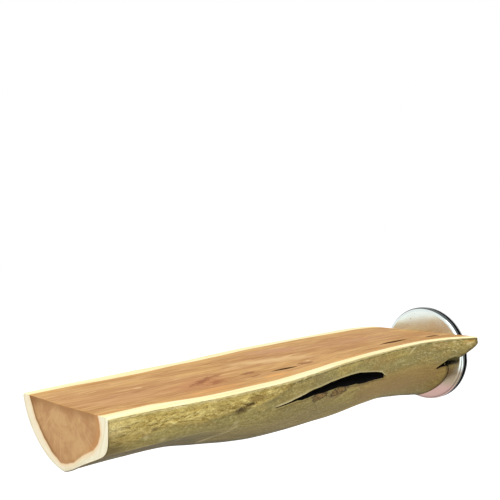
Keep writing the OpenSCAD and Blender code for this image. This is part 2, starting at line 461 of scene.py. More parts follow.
def bumps(points, size, shift=0.0):
    """Smooth random numbers from 0 to 1 at each point, with bumps about as long as size."""
    p = points / np.asarray(size, float) + shift
    cell = np.floor(p).astype(int)
    t = ease(p - cell)
    total = 0
    for corner in np.ndindex(2, 2, 2):
        i, j, k = np.moveaxis((cell + corner) % len(LATTICE), -1, 0)
        total = total + np.prod(np.where(corner, t, 1 - t), -1) * LATTICE[i, j, k]
    return total

# %% Where the surface is flaky
side_points = np.concatenate([np.broadcast_to(x[:, None, None], (STATIONS, ROWS, 1)), side], -1)
step_lengths = np.linalg.norm(np.diff(side_points, axis=1), axis=2)
from_back = np.concatenate([np.zeros((STATIONS, 1)), np.cumsum(step_lengths, 1)], 1)
from_front = from_back[:, -1:] - from_back

FLAKY_X = [-222, -190, -160, -148, -136, -95, -70, -40, 0]
FLAKY_WIDTH = [10, 8.5, 6.5, 4.5, 0.9, 0.7, 0.8, 0.6, 0.4]
BACK_FLAKY_WIDTH, BACK_FLAKY_SHARE = 5, 0.8
flaky_width = np.interp(x, FLAKY_X, FLAKY_WIDTH)[:, None]
edge_wander = 0.6 + 0.8 * bumps(side_points, (14, 5, 5), 3.3)
flaky_front = 1 - ease(from_front / (flaky_width * edge_wander) - 0.45)
flaky_back = 1 - ease(from_back / (BACK_FLAKY_WIDTH * edge_wander) - 0.4)
flaky = np.maximum(flaky_front, BACK_FLAKY_SHARE * flaky_back)

# %% Pressing the surface in
# All depths are in millimetres. A pit is its place, half its length and its depth.
PITS = [(-203.7, -30.6, 4.6, 1.7, 0.5), (-166.4, -33.8, 4.3, 3.4, 0.75),
        (-162.4, -34.0, 5.6, 1.9, 0.6)]
PIT_FLATNESS = 0.45
FADE_AT_EDGE, FADE_AT_END, FADE_AT_LIP = 1.2, 1.5, 1.2
ROT_RELIEF = 0.9


def pit_share(points, pit, tightness):
    """1 in the middle of a pit and less away from it."""
    away = (points - pit[:3]) / (pit[3], pit[3], PIT_FLATNESS * pit[3])
    return np.exp(-np.sum(away ** 2, -1) * tightness)


broad = 0.30 * bumps(side_points, (26, 12, 12)) + 0.16 * bumps(side_points, (9, 5, 5), 5.1)
flutes = 0.07 * bumps(side_points, (16, 1.7, 1.7), 8.7)
ridges = np.abs(2 * bumps(side_points, (6.5, 1.9, 1.9), 1.9) - 1)
chips = np.clip(bumps(side_points, (3.4, 1.5, 1.5), 6.4) * 2 - 0.9, 0, 1)
crumbs = bumps(side_points, (1.7, 1.1, 1.1), 2.2)
flakes = 0.38 * (1 - ridges) + 0.40 * chips + 0.14 * crumbs
pressed = broad + flutes * (1 - flaky) + flakes * flaky
for pit in PITS:
    pressed += pit[4] * pit_share(side_points, pit, 0.7 + 0.6 * crumbs)

near_edge = ease(np.minimum(from_front, from_back) / FADE_AT_EDGE)
near_end = ease(np.minimum(x - LOG_START, LOG_END - x) / FADE_AT_END)[:, None]
pressed = pressed * (0.25 + 0.75 * near_edge) * (0.2 + 0.8 * near_end)
inside = np.zeros((STATIONS, ROWS))
depth_in = seam_depth(s)[:, None] * pocket_share(np.linspace(0, 1, SEAM_ROWS + 1))
inside[:, FIRST_SEAM:LAST_SEAM + 1] = ease(depth_in / FADE_AT_LIP)
pressed = pressed * (1 - inside) + inside * ROT_RELIEF * bumps(side_points, (4, 2, 2), 9.4)

along_log, round_log = np.gradient(side_points, axis=0), np.gradient(side_points, axis=1)
outward = np.cross(along_log, round_log)
outward /= np.linalg.norm(outward, axis=2)[:, :, None]
side_points = side_points - pressed[:, :, None] * outward
print("relief: %.2f mm deep at most" % pressed.max())

# %% [markdown]
# ## The sawn top and its checks
#
# The flat top has three thin drying cracks, which a woodworker calls checks. A crack that is
# only painted looks flat from nearby, so these are real grooves. All three lie near one line
# along the board. Seven columns of the mesh follow that line: they spread where a check is open
# and close up between the checks.

# %% Columns of the top
CHECKS = [(-134.5, -115.5, 1.0), (-53, -27.5, 1.1), (-20.5, -6.8, 0.85)]
CHECK_LINE = ([-222, -160, -132, -118, -85, -49.8, -29.2, -18.2, -8.7, 0],
              [-16.5, -16.3, -16.1, -16.4, -12.6, -9.5, -9.9, -13.8, -15.1, -16])
CHECK_DEPTH = 3.5
CHECK_POWER = 1.15
CHECK_SHADE_REACH = 1.3
CLOSED_WIDTH = 0.1
CHECK_STEPS = np.array([-1, -0.8, -0.45, 0, 0.45, 0.8, 1])
FRONT_COLUMNS, BACK_COLUMNS = 26, 62

check_y = np.interp(x, *CHECK_LINE)
check_open = np.zeros(STATIONS)
for start, stop, half_width in CHECKS:
    t = np.clip((x - start) / (stop - start), 0, 1)
    check_open = np.maximum(check_open, half_width * np.sin(math.pi * t) ** CHECK_POWER)
check_half = CLOSED_WIDTH + check_open

front_rim = front_edge(s) + ARRIS
back_rim = back_edge(s) - ARRIS


def spread(start, stop, count, end=True):
    """Columns from start to stop at every station."""
    t = np.linspace(0, 1, count, endpoint=end)
    return start[:, None] + (stop - start)[:, None] * t


columns = np.concatenate([
    spread(front_rim, check_y - check_half, FRONT_COLUMNS, end=False),
    check_y[:, None] + check_half[:, None] * CHECK_STEPS,
    spread(check_y + check_half, back_rim, BACK_COLUMNS)[:, 1:],
], 1)
sunk = np.zeros_like(columns)
check_columns = slice(FRONT_COLUMNS, FRONT_COLUMNS + len(CHECK_STEPS))
sunk[:, check_columns] = CHECK_DEPTH * check_open[:, None] * (1 - CHECK_STEPS ** 2)
# Painted shade: the dark of each check reaches a little beyond its groove.
check_shade_width = (CHECK_SHADE_REACH * check_open + 0.001)[:, None]
check_shade = np.exp(-((columns - check_y[:, None]) / check_shade_width) ** 4)
COLUMNS = columns.shape[1]
top_points = np.stack([np.broadcast_to(x[:, None], columns.shape), columns, TOP_HEIGHT - sunk], -1)
print("top: %d columns, deepest check %.1f mm" % (COLUMNS, sunk.max()))

# %% [markdown]
# ## One closed loop a station
#
# The side rows, the two softened edges and the top columns together go once round the log. The
# free end is drawn in by the width of its softened edge and closed with rings that shrink
# almost to a point. At the cage end the rings shrink to the mouth of the bolt's pilot bore, and
# the bore goes on from there, so the bolt sits in a real hole.

# %% Loops with softened edges
ROUND_POINTS = 4


def rounded(first, corner, last):
    """Points on a small round from first to last that bends at the corner."""
    return np.stack([(1 - t) ** 2 * first + 2 * t * (1 - t) * corner + t * t * last
                     for t in np.arange(1, ROUND_POINTS + 1) / (ROUND_POINTS + 1)], 1)


def corner_points(edge):
    return np.stack([x, edge, np.full(STATIONS, TOP_HEIGHT)], -1)


front_round = rounded(side_points[:, -1], corner_points(front_edge(s)), top_points[:, 0])
back_round = rounded(top_points[:, -1], corner_points(back_edge(s)), side_points[:, 0])
grid = np.concatenate([side_points, front_round, top_points, back_round], 1)
LOOP = grid.shape[1]
TOP_FIRST = ROWS + front_round.shape[1]

# %% Rings that close the ends
END_ARRIS = 0.35
END_RINGS = 22
LAST_RING = 0.98
BORE_RADIUS = 2.6
BORE_END = box_mm("hanger_bolt")[0][0]
NEAR_CENTRE = np.array([LOG_START, 0.0, 4.1])


def drawn_in(ring, place):
    """The outline of an end face: the ring drawn in by the softened edge's width."""
    flat = ring.copy()
    inwards = NEAR_CENTRE[1:] - flat[:, 1:]
    flat[:, 1:] += END_ARRIS * inwards / np.linalg.norm(inwards, axis=1)[:, None]
    flat[:, 0] = place
    return flat


near_face, far_face = drawn_in(grid[0], LOG_START), drawn_in(grid[-1], LOG_END)
grid[0, :, 0] = LOG_START + END_ARRIS
grid[-1, :, 0] = LOG_END - END_ARRIS
steps = np.linspace(0, 1, END_RINGS)[:, None, None]
near_rings = near_face + (NEAR_CENTRE - near_face) * LAST_RING * steps
bore_turn = far_face[:, 1:] / np.linalg.norm(far_face[:, 1:], axis=1)[:, None]
bore_mouth = np.concatenate([np.full((LOOP, 1), LOG_END), BORE_RADIUS * bore_turn], 1)
far_rings = far_face + (bore_mouth - far_face) * steps
bore_floor = bore_mouth + (BORE_END - LOG_END, 0, 0)
rings = np.concatenate([near_rings[::-1], grid, far_rings, bore_floor[None]])

# %% [markdown]
# ## The corner at the cage end
#
# Above the split the wood ends in a thick lobe. The photograph shows its flank a little fuller
# than the solid's, so the last centimetre swells towards the front, most of all halfway up, and
# it stays inside the log's greatest width. Its tip is worn round, so points outside a small
# ball in the corner are drawn back onto the ball.

# %% The full corner
SWELL, SWELL_LENGTH, SWELL_POWER = 1.9, 10.0, 1.7
SWELL_FROM, SWELL_FADE = -14, 8
from_end = ease(1 - (LOG_END - rings[:, :, 0]) / SWELL_LENGTH)
height_share = np.clip(rings[:, :, 2] / TOP_HEIGHT, 0, 1)
out_front = ease((SWELL_FROM - rings[:, :, 1]) / SWELL_FADE)
rings[:, :, 1] -= SWELL * from_end * out_front * np.sin(math.pi * height_share ** SWELL_POWER)

# %% The worn corner
CORNER_WEAR = 0.8
WEAR_FADE = 4.0
corner_sides = np.array([1, -1, 1])
wear_centre = np.array([LOG_END, front_edge(np.array(1.0)), TOP_HEIGHT]) - CORNER_WEAR * corner_sides
towards = (rings - wear_centre) * corner_sides
reach = np.maximum(towards, 0)
distance = np.linalg.norm(reach, axis=2)
too_far = np.clip(distance - CORNER_WEAR, 0, None) / np.maximum(distance, 1e-6)
fading = np.prod(ease(1 + np.minimum(towards, 0) / WEAR_FADE), axis=2)
rings = rings - (fading * too_far)[:, :, None] * reach * corner_sides
print("%d rings of %d points" % rings.shape[:2])

# %% [markdown]
# ## What each point of the wood knows
#
# The finishes need to know more than where a point is. They need the distance inside the
# heartwood, a grain coordinate that flows round the knot, how flaky the place is, how far it is
# from the top edge and from the seam's lips, and where the scratches and pits are. These numbers
# are worked out once a point and stored in the mesh. The sapwood band along the front is wide
# at the free end and thin at the cage end, as the photograph shows.

# %% Distance inside the heartwood
FRONT_SAP = ([-222, -201, -182, -166, -139, -117, -89, -63, -36, -2],
             [5.2, 6.4, 4.6, 4.3, 4.8, 4.2, 3.3, 3.2, 3.0, 2.8])
BACK_SAP = ([-222, -207, -190, -169, -146, -121, -92, -62, -30, -2],
            [5.3, 6.0, 7.3, 7.9, 5.2, 6.5, 6.6, 5.0, 6.8, 6.0])
END_HEART = [(25.2, 20), (24.9, 12.3), (24.1, 10.6), (20.6, 3.8), (14.7, -2.4), (9.2, -6.6),
             (2.9, -9.6), (-1.7, -9.1), (-6.7, -7.4), (-12.6, -3.9), (-19.9, -0.7), (-23.4, 2.4),
             (-25.1, 6), (-24.9, 9.2), (-23.8, 11.6), (-23.5, 20)]
FAR_SAP = 5.5
DEEP_IN_SAP, DEEP_IN_HEART = -4.0, 5.0
stations = slice(END_RINGS, END_RINGS + STATIONS)
top_columns = slice(TOP_FIRST, TOP_FIRST + COLUMNS)
known = {"place": rings}


def known_number(name, value=0.0):
    """A new number for every point of the log, kept under the name that the finishes ask for."""
    known[name] = np.full(rings.shape[:2], value)
    return known[name]


def away_from_line(points, start, stop):
    """The way to each point from the nearest place on the line from start to stop."""
    start, stop = np.array(start, float), np.array(stop, float)
    t = np.clip(np.sum((points - start) * (stop - start), -1) / np.sum((stop - start) ** 2), 0, 1)
    return points - start - t[..., None] * (stop - start)


def inside_distance(points, corners):
    """Distance of points from the line through the corners, positive on its left side."""
    best = np.full(points.shape[:-1], 1e9)
    result = np.zeros(points.shape[:-1])
    for a, b in zip(corners[:-1], corners[1:]):
        away = away_from_line(points, a, b)
        distance = np.linalg.norm(away, axis=-1)
        turn = (b[0] - a[0]) * away[..., 1] - (b[1] - a[1]) * away[..., 0]
        closer = distance < best
        best = np.where(closer, distance, best)
        result = np.where(closer, np.sign(turn) * distance, result)
    return result


heart = known_number("heart", DEEP_IN_SAP)
front_heart = columns - (front_edge(s) + np.interp(x, *FRONT_SAP))[:, None]
back_heart = (back_edge(s) - np.interp(x, *BACK_SAP))[:, None] - columns
heart[stations, top_columns] = np.minimum(front_heart, back_heart)
heart[:END_RINGS] = -inside_distance(rings[:END_RINGS, :, 1:], END_HEART)
heart[END_RINGS + STATIONS:-1] = np.linalg.norm(far_rings - far_face, axis=2) - FAR_SAP
heart[-1] = DEEP_IN_HEART

# %% Grain that flows round the knot
# Half of the streaks' course follows the two edges and half goes straight.
KNOT = (-163.5, -11.5)
KNOT_REACH = (13.0, 5.0)
KNOT_PULL = 0.75
GRAIN_START, GRAIN_WIDTH = -30, 72

known["grain"] = grain = rings.copy()
dx, dy = x[:, None] - KNOT[0], columns - KNOT[1]
pull = np.exp(-(dx / KNOT_REACH[0]) ** 2 - (dy / KNOT_REACH[1]) ** 2)
share = (columns - front_edge(s)[:, None]) / (back_edge(s) - front_edge(s))[:, None]
with_edges = GRAIN_START + GRAIN_WIDTH * share
grain[stations, top_columns, 1] = 0.5 * columns + 0.5 * with_edges - KNOT_PULL * dy * pull

# %% Masks for the side and the checks
FAR_AWAY = 99.0
known_number("flaky")[stations, :ROWS] = flaky
known_number("check")[stations, top_columns] = check_shade
from_edge = known_number("edge", FAR_AWAY)
from_edge[stations, :ROWS] = np.minimum(from_front, from_back + 0.6)
from_edge[stations, ROWS:TOP_FIRST] = 0
from_edge[stations, TOP_FIRST + COLUMNS:] = 0
deep = known_number("deep")
deep[stations, :ROWS] = inside
deep[-1] = 1.0

# %% Distance from the seam's lips
from_lip = known_number("lip", -FAR_AWAY)
from_lip[stations, BACK_ROWS:FIRST_SEAM] = side_points[:, BACK_ROWS:FIRST_SEAM, 2] - lower_height[:, None]
from_lip[stations, LAST_SEAM:ROWS] = 0.01 + side_points[:, LAST_SEAM:, 2] - upper_height[:, None]
known_number("across")[stations, FIRST_SEAM:LAST_SEAM + 1] = np.linspace(0, 1, SEAM_ROWS + 1)

# %% Light scratches and worn dots, as lines on the side
SCRATCHES = [
    ((-171, -13, -10.3), (-167.5, -32, 0.2), 0.8), ((-168.5, -20, -8.0), (-166, -31, -1.5), 0.5),
    ((-41.7, -20.9, 8.1), (-38, -21.3, 10.4), 0.6), ((-207.4, -29.7, 2.7), (-206.9, -29.7, 2.9), 0.8),
    ((-200.1, -29.2, 0), (-199.2, -29.2, 0.1), 0.9), ((-189.1, -23.5, -3.4), (-188.2, -23.6, -3.2), 0.8),
    ((-16.7, -25.1, 11.3), (-16.2, -25.2, 10.9), 0.9), ((-24, -22.5, 9.5), (-20, -23.6, 8.6), 0.4)]
PIT_TIGHTNESS = 1.4

scratch = known_number("scratch")
for start, stop, width in SCRATCHES:
    distance = np.linalg.norm(away_from_line(rings, start, stop), axis=-1)
    np.maximum(scratch, np.exp(-(distance / width) ** 2), out=scratch)
in_pit = known_number("pit")
for pit in PITS:
    np.maximum(in_pit, pit_share(rings, pit, PIT_TIGHTNESS), out=in_pit)
print("each point knows:", ", ".join(known))

# %% [markdown]
# ## The log's mesh
#
# The rings become one closed skin. Faces are sorted into four finishes by where they lie: the
# sawn top, the end grain, the side under the bark, and the rotten inside of the hollow.

# %% The skin
TOP_SLOT, END_SLOT, SIDE_SLOT, HOLLOW_SLOT = range(4)
OPEN_SHARE = 0.25


def skin(name, rings, closed_ends=True):
    """A mesh object from rings of points in millimetres, each ring closed on itself."""
    count, loop = rings.shape[:2]
    points = rings.reshape(-1, 3)
    first = np.arange(count - 1)[:, None] * loop + np.arange(loop)
    onward = np.arange(count - 1)[:, None] * loop + (np.arange(loop) + 1) % loop
    faces = np.stack([first, onward, onward + loop, first + loop], -1).reshape(-1, 4).tolist()
    if closed_ends:
        points = np.concatenate([points, [rings[0].mean(0), rings[-1].mean(0)]])
        near, far = len(points) - 2, len(points) - 1
        faces += [[near, (k + 1) % loop, k] for k in range(loop)]
        last = (count - 1) * loop
        faces += [[far, last + k, last + (k + 1) % loop] for k in range(loop)]
    mesh = bpy.data.meshes.new(name)
    mesh.from_pydata((points * MM).tolist(), [], faces)
    mesh.update()
    return placed(name, mesh)


def face_outwards(obj, sharp):
    """Turns all faces outwards, and shades smooth but for edges sharper than the angle."""
    work = bmesh.new()
    work.from_mesh(obj.data)
    bmesh.ops.recalc_face_normals(work, faces=work.faces)
    if work.calc_volume(signed=True) < 0:
        bmesh.ops.reverse_faces(work, faces=work.faces)
    for face in work.faces:
        face.smooth = True
    for edge in work.edges:
        edge.smooth = len(edge.link_faces) < 2 or edge.calc_face_angle() < math.radians(sharp)
    work.to_mesh(obj.data)
    work.free()


log = skin("half_log_wood", rings)
face_kind = np.full((len(rings) - 1, LOOP), SIDE_SLOT)
face_kind[:, ROWS:LOOP - 1] = TOP_SLOT
opened = inside[:-1, :-1] * inside[1:, 1:] > OPEN_SHARE
opened = np.concatenate([opened, np.zeros((STATIONS - 1, LOOP - ROWS + 1), bool)], 1)
face_kind[END_RINGS:END_RINGS + STATIONS - 1][opened] = HOLLOW_SLOT
face_kind[:END_RINGS - 1] = END_SLOT
face_kind[END_RINGS + STATIONS:] = END_SLOT
slots = np.concatenate([face_kind.ravel(), np.full(2 * LOOP, END_SLOT)])
log.data.polygons.foreach_set("material_index", slots.astype(np.int32))
face_outwards(log, 50)


def store(obj, name, values):
    """Stores one number, or one vector, a point. The two points that close the ends come last."""
    flat = values.reshape(-1, values.shape[-1]) if values.ndim == 3 else values.reshape(-1, 1)
    flat = np.concatenate([flat, flat[:1], flat[-1:]])
    kind, key = ("FLOAT_VECTOR", "vector") if flat.shape[1] == 3 else ("FLOAT", "value")
    obj.data.attributes.new(name, kind, "POINT").data.foreach_set(key, flat.astype(np.float32).ravel())


for name, values in known.items():
    store(log, name, values)
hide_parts("half_log")
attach(log, "perch")
print("log: %d points, %d faces" % (len(log.data.vertices), len(log.data.polygons)))

# %% [markdown]
# ## The sawn top's finish
#
# Heartwood is tan, with long soft streaks along the grain in orange, brown and a pinkish grey,
# and fine dark and light lines among them. The sapwood band is pale cream. The border between
# them is crisp, and only wavers a little. A knot lies near the free end, where the streaks close
# round a reddish swirl.

# %% Shared shader steps
def wood_border(finish, place, waver, width=0.2):
    """How much heartwood: 1 inside its border, 0 in the sapwood."""
    noise_here = finish.noise(place, (0.05, 0.22, 0.22), detail=2)
    border = finish.plus(finish.number("heart"), noise_here, waver)
    return finish.step(border, waver / 2 - width, waver / 2 + width)


def spot(finish, vector, centre, size, turn=0.0):
    """Distance from a centre, where 1 is the edge of an ellipse of that size."""
    inputs = {"Vector": vector, "Location": centre, "Scale": size, "Rotation": (0, 0, math.radians(turn))}
    return finish.length(finish.node("Mapping", inputs, vector_type="TEXTURE").outputs["Vector"])

# %% Sawn top
top = Finish("sawn_top")
place, flow, heart_in = top.vector("place"), top.vector("grain"), top.number("heart")
broad_tone = top.noise(flow, (0.016, 0.085, 0.085), detail=3, distortion=0.8)
middle_tone = top.noise(flow, (0.032, 0.28, 0.28), detail=4, roughness=0.6, distortion=0.8, place=(3, 1, 0))
fine_tone = top.noise(flow, (0.09, 1.5, 1.5), detail=4, place=(9, 2, 0))
pink_tone = top.noise(flow, (0.016, 0.07, 0.07), detail=3, distortion=0.6, place=(7, 4, 2))
in_middle = top.both((heart_in, 4, 14), (pink_tone, 0.38, 0.6))
colour = top.layers(
    top.ground(broad_tone, 0.36, 0.64, (188, 141, 84), (210, 165, 104)),
    (in_middle, 0.6, (184, 134, 88)),
    (middle_tone, 0.52, 0.66, 0.5, (168, 118, 70)),
    (middle_tone, 0.46, 0.32, 0.5, (234, 194, 136)),
    (fine_tone, 0.52, 0.62, 0.4, (150, 100, 58)),
    (fine_tone, 0.46, 0.36, 0.3, (234, 194, 138)),
    (heart_in, 5, 0.3, 0.3, (226, 168, 98)))

# %% Patches, knot and small marks of the top
# Each one is an ellipse: centre, half its length and width, turn, tone and strength.
PATCHES = [
    ((-114, 2.5), (21, 5), -18, (236, 200, 144), 0.6), ((-96, 20), (18, 6), -15, (196, 146, 112), 0.6),
    ((-136, -23), (7, 2.6), 0, (238, 172, 98), 0.6), ((-171, -24), (15, 3), 0, (228, 164, 96), 0.5),
    ((-168, -11), (15, 9), 20, (184, 122, 80), 0.65), ((-200, -8), (22, 8), 0, (200, 150, 108), 0.4),
    ((-40, 8), (30, 4), -5, (198, 150, 110), 0.5), ((-62, 14), (26, 4), -6, (190, 142, 98), 0.4)]
MARKS = [
    ((-164.5, -8.6), (10, 2.4), 28, (136, 80, 44), 0.75),
    ((-161.5, -14.2), (6.5, 2.6), 22, (150, 88, 48), 0.7),
    ((-154, -4), (6, 1.8), 10, (150, 94, 52), 0.7), ((-141.4, -10.9), (6, 2.0), 8, (138, 88, 50), 0.8),
    ((-144, -17.5), (5, 1.6), 20, (154, 100, 58), 0.7), ((-109.9, -14), (5.5, 2.3), 0, (142, 90, 52), 0.8),
    ((-105.6, -11.4), (1.5, 1.0), 0, (240, 208, 152), 0.7),
    ((-188.4, 1.4), (2, 1.4), 0, (236, 202, 148), 0.5),
    ((-192.6, -4), (4, 1.1), 15, (160, 110, 68), 0.6), ((-202, -4), (6, 1.2), 6, (164, 114, 70), 0.5),
    ((-203.5, -22.6), (6, 1.2), 0, (170, 118, 68), 0.6), ((-115, 12.6), (34, 1.7), -13, (168, 118, 70), 0.6),
    ((-183, -10), (8, 1.0), 5, (168, 112, 70), 0.5), ((-66, -2), (10, 1.0), -4, (170, 120, 76), 0.5)]
MARK_DEPTH = 9
warp = top.noise(place, (0.16, 0.3, 0.3), detail=4, roughness=0.6)
fray = top.noise(place, (0.3, 0.75, 0.75), detail=5, roughness=0.65, distortion=0.6, place=(4, 4, 4))
for marks, wobble, share, low, high in ((PATCHES, warp, 1.4, 2.1, 0.9), (MARKS, fray, 3.0, 2.7, 1.9)):
    for (mark_x, mark_y), (length, width), turned, tone, strength in marks:
        away = spot(top, place, (mark_x, mark_y, TOP_HEIGHT), (length, width, MARK_DEPTH), turned)
        colour = top.layers(colour, (top.plus(away, wobble, share), low, high, strength, tone))

# %% Sapwood, checks and pores of the top
sap_tone = top.noise(place, (0.02, 0.55, 0.55), detail=3, place=(1, 8, 0))
sap_colour = top.ground(sap_tone, 0.38, 0.66, (254, 243, 196), (249, 231, 172))
colour = top.mix(wood_border(top, place, 1.0), sap_colour, colour)
# Painted shade: the checks and a thin band beside them are darkened almost to black.
colour = top.layers(colour, (top.number("check"), 0.2, 0.7, 0.95, (66, 36, 16)))
pores = top.noise(place, (0.35, 3.2, 3.2), detail=4)
top.set(Base_Color=colour, Roughness=0.7, Normal=top.bump(pores, 0.12 * MM, 0.4), Specular_IOR_Level=0.12)

# %% [markdown]
# ## The end grain's finish
#
# Seen end on, the wood has faint rings and rays about its pith, which lies just over the middle
# of the sawn top. The heartwood darkens along its border, and most of all in the back corner.

# %% End grain
PITH = (0.0, 14.0)
RAY_COUNT = 14
ANY_LENGTH = 1000

end = Finish("end_grain")
place, heart_in = end.vector("place"), end.number("heart")
parts = end.axes(place)
from_pith = (end.math("SUBTRACT", parts["Y"], PITH[0]), end.math("SUBTRACT", parts["Z"], PITH[1]))
pith_distance = spot(end, place, (LOG_START, *PITH), (ANY_LENGTH, 1, 1))
pith_turn = end.times(end.math("ARCTAN2", *from_pith), RAY_COUNT)
polar = end.node("CombineXYZ", {"X": pith_distance, "Y": pith_turn}).outputs["Vector"]
ring_tone = end.noise(polar, (0.5, 0.06, 1), detail=3)
ray_tone = end.noise(polar, (0.07, 0.8, 1), detail=4, distortion=0.5, place=(2, 2, 0))
cloud_tone = end.noise(place, (0.10, 0.10, 0.10), detail=3)
colour = end.layers(
    end.ground(cloud_tone, 0.38, 0.62, (188, 142, 96), (206, 164, 114)),
    (ring_tone, 0.5, 0.66, 0.3, (176, 128, 82)),
    (ray_tone, 0.54, 0.72, 0.4, (224, 184, 136)),
    (ray_tone, 0.44, 0.3, 0.35, (166, 118, 74)),
    (parts["Z"], 8.5, 11.5, 0.6, (160, 116, 72)),
    (end.both((heart_in, 3.5, 0.5), (parts["Y"], -12, -20)), 0.6, (202, 146, 92)),
    (end.both((heart_in, 2.0, 0.3), (parts["Y"], 0, 10)), 0.75, (138, 98, 56)),
    (spot(end, place, (LOG_START, 24, 11.5), (99, 9, 4.5)), 1.1, 0.2, 0.6, (138, 94, 52)))

# %% Sapwood round the end grain
sap_tone = end.noise(polar, (0.9, 0.2, 1), detail=3, place=(4, 0, 0))
sap_colour = end.layers(
    end.ground(sap_tone, 0.4, 0.66, (247, 239, 211), (237, 227, 192)),
    (parts["Y"], 0, 16, 0.45, (255, 238, 206)),
    (heart_in, -2.0, -0.2, 0.6, (244, 208, 158)))
colour = end.mix(wood_border(end, place, 0.7, 0.3), sap_colour, colour)
saw_marks = end.noise(place, (1, 2.4, 2.4), detail=4)
end.set(Base_Color=colour, Roughness=0.8, Normal=end.bump(saw_marks, 0.12 * MM, 0.5), Specular_IOR_Level=0.12)

# %% [markdown]
# ## The finish of the side under the bark
#
# The side is olive grey and smooth below, with painted shade that darkens it towards the
# bottom, and yellow ochre and flaky along the top near the free end, where painted highlights
# and shade lie on the flakes. There a painted golden highlight lies just under the edge, and the
# corner beside the end face has painted light above and painted shade below. Towards the cage
# end pale and dark wisps cross the wood, and painted shade darkens the underside and the strip
# beside the cage end. Crumbs of brown rot cling under the hollow's lower lip, a painted highlight
# lies along the upper lip, and the wood is browner round the end of the hollow.

# %% Side: smooth wood
peeled = Finish("side_under_bark")
place, flaky_here, edge_here = peeled.vector("place"), peeled.number("flaky"), peeled.number("edge")
parts = peeled.axes(place)
facing = peeled.axes(peeled.own("Normal"))
fibre_tone = peeled.noise(place, (0.05, 0.6, 0.6), detail=5, roughness=0.6)
brown_tone = peeled.noise(place, (0.03, 0.08, 0.08), detail=3, place=(5, 5, 5))
green_tone = peeled.noise(place, (0.045, 0.11, 0.11), detail=3, place=(1, 9, 4))
speckle = peeled.noise(place, (0.75, 1.2, 1.2), detail=5, roughness=0.7)
wisps = peeled.noise(place, (0.12, 0.6, 0.6), detail=5, roughness=0.65, distortion=1.6, place=(8, 8, 1))
near_cage = peeled.both((parts["X"], -70, -25), (parts["Z"], -4, 3))
colour = peeled.layers(
    peeled.ground(fibre_tone, 0.38, 0.62, (157, 138, 75), (185, 165, 95)),
    (brown_tone, 0.48, 0.62, 0.5, (154, 122, 72)),
    (green_tone, 0.48, 0.62, 0.5, (146, 138, 88)),
    (peeled.both((parts["X"], -165, -148), (parts["X"], -95, -115)), 0.4, (132, 120, 78)),
    # Painted shade: the side darkens towards the bottom.
    (parts["Z"], 4, -14, 0.4, (138, 116, 62)),
    (speckle, 0.53, 0.64, 0.5, (216, 198, 138)),
    (speckle, 0.46, 0.36, 0.55, (98, 82, 44)),
    (spot(peeled, place, (-38, -18, -8), (44, 18, 9)), 1.2, 0.5, 0.5, (172, 130, 76)),
    (peeled.times(near_cage, peeled.step(wisps, 0.54, 0.66)), 0.7, (226, 212, 160)),
    (peeled.times(near_cage, peeled.step(wisps, 0.45, 0.34)), 0.6, (104, 88, 48)),
    # Painted shade: faces that look down are darkened almost to black brown.
    (facing["Z"], -0.84, -0.96, 0.85, (46, 38, 20)))

# %% Side: flakes along the top edge
flake_tone = peeled.noise(place, (0.26, 0.72, 0.72), detail=5, roughness=0.6, distortion=1.0, place=(2, 3, 4))
fine_flake = peeled.noise(place, (1.1, 2.0, 2.0), detail=3, place=(6, 1, 2))
flake_mix = peeled.plus(peeled.times(flake_tone, 0.7), fine_flake, 0.3)
flake_colour = peeled.layers(
    peeled.ground(flake_mix, 0.40, 0.56, (182, 154, 80), (220, 199, 122)),
    # Painted highlight on the flakes' high places and painted shade in their low places, from the noise that
    # also drives the bump.
    (flake_mix, 0.545, 0.595, 0.85, (252, 232, 154)),
    (flake_mix, 0.44, 0.38, 0.75, (120, 92, 38)),
    (green_tone, 0.5, 0.62, 0.45, (166, 140, 76)))
flaky_mask = peeled.plus(peeled.math("SUBTRACT", flaky_here, 0.45), fibre_tone, 0.9)
ragged = peeled.noise(place, (0.45, 1.2, 1.2), detail=4)
at_free_end = (parts["X"], -210, -221)
colour = peeled.layers(
    peeled.mix(peeled.step(flaky_mask, 0.15, 0.75), colour, flake_colour),
    # Painted shade low on the corner beside the free end, and painted light above it.
    (peeled.both(at_free_end, (parts["Z"], 7, 1)), 0.7, (96, 78, 44)),
    (peeled.both(at_free_end, (parts["Z"], 4, 8)), 0.5, (248, 230, 168)),
    # Painted highlight: a golden band just under the top edge.
    (peeled.both((edge_here, 4.5, 0.8), (parts["X"], -135, -175)), 0.45, (230, 204, 118)),
    (peeled.plus(edge_here, ragged, 3.2), 2.6, 1.9, 1.0, (248, 228, 156)))

# %% Side: the hollow's lips and crumbs
CRUMBS = [((-117.5, -28.6, 0.9), 7.0), ((-101, -25, -0.4), 7.5)]
lip_here = peeled.number("lip")
lip_window = peeled.step(spot(peeled, place, (-104, 0, 0), (46, 999, 999)), 1.02, 0.9)
# Painted highlight along the upper lip.
painted_lip_highlight = peeled.both((lip_here, 1.3, 0.4), (lip_here, 0.0, 0.01))
brown_lip = peeled.both((lip_here, -1.6, -0.5), (lip_here, 0.0, -0.01))
colour = peeled.layers(
    colour,
    (peeled.times(painted_lip_highlight, lip_window), 0.7, (214, 202, 156)),
    (peeled.times(brown_lip, lip_window), 0.7, (104, 76, 40)))
crumb_colour = peeled.ground(speckle, 0.42, 0.54, (84, 62, 28), (160, 128, 70))
for centre, length in CRUMBS:
    torn = peeled.plus(spot(peeled, place, centre, (length, 9, 2.2)), ragged, 1.8)
    colour = peeled.layers(
        colour,
        (torn, 1.95, 1.75, 0.9, (62, 46, 20)),
        (torn, 1.68, 1.5, 0.9, crumb_colour))

